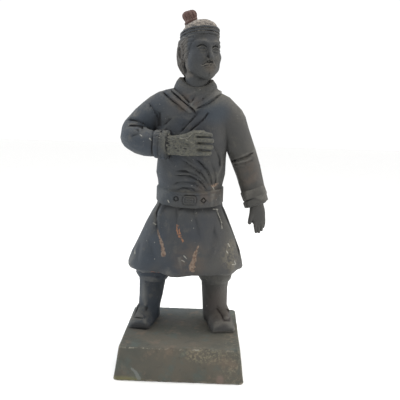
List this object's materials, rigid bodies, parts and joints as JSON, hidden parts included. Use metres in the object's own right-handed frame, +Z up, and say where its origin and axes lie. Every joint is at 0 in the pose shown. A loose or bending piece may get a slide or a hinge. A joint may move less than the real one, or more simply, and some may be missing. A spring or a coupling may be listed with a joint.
{
  "type": "terracotta warrior statue",
  "caption": "Small fired-clay statue of a robed foot soldier with a topknot, one forearm across the chest, standing on a tapered square plinth.",
  "frame": {"origin": "centre of the plinth's flat underside, on the surface it stands on", "axes": "+Z up through the figure; the figure faces -Y, so +X is its left; the plinth's sides lie along X and Y"},
  "size_m": [0.1557, 0.129, 0.368],
  "materials": {
    "fired_clay": "matt dark slate-grey slip over orange fired clay, dusty in the hollows and chipped along folds",
    "plinth_clay": "matt olive-grey slip over fired clay, scuffed, with pale worn edges"
  },
  "bodies": {
    "root": {"figure": "fired_clay", "plinth": "plinth_clay"}
  },
  "joints": []
}
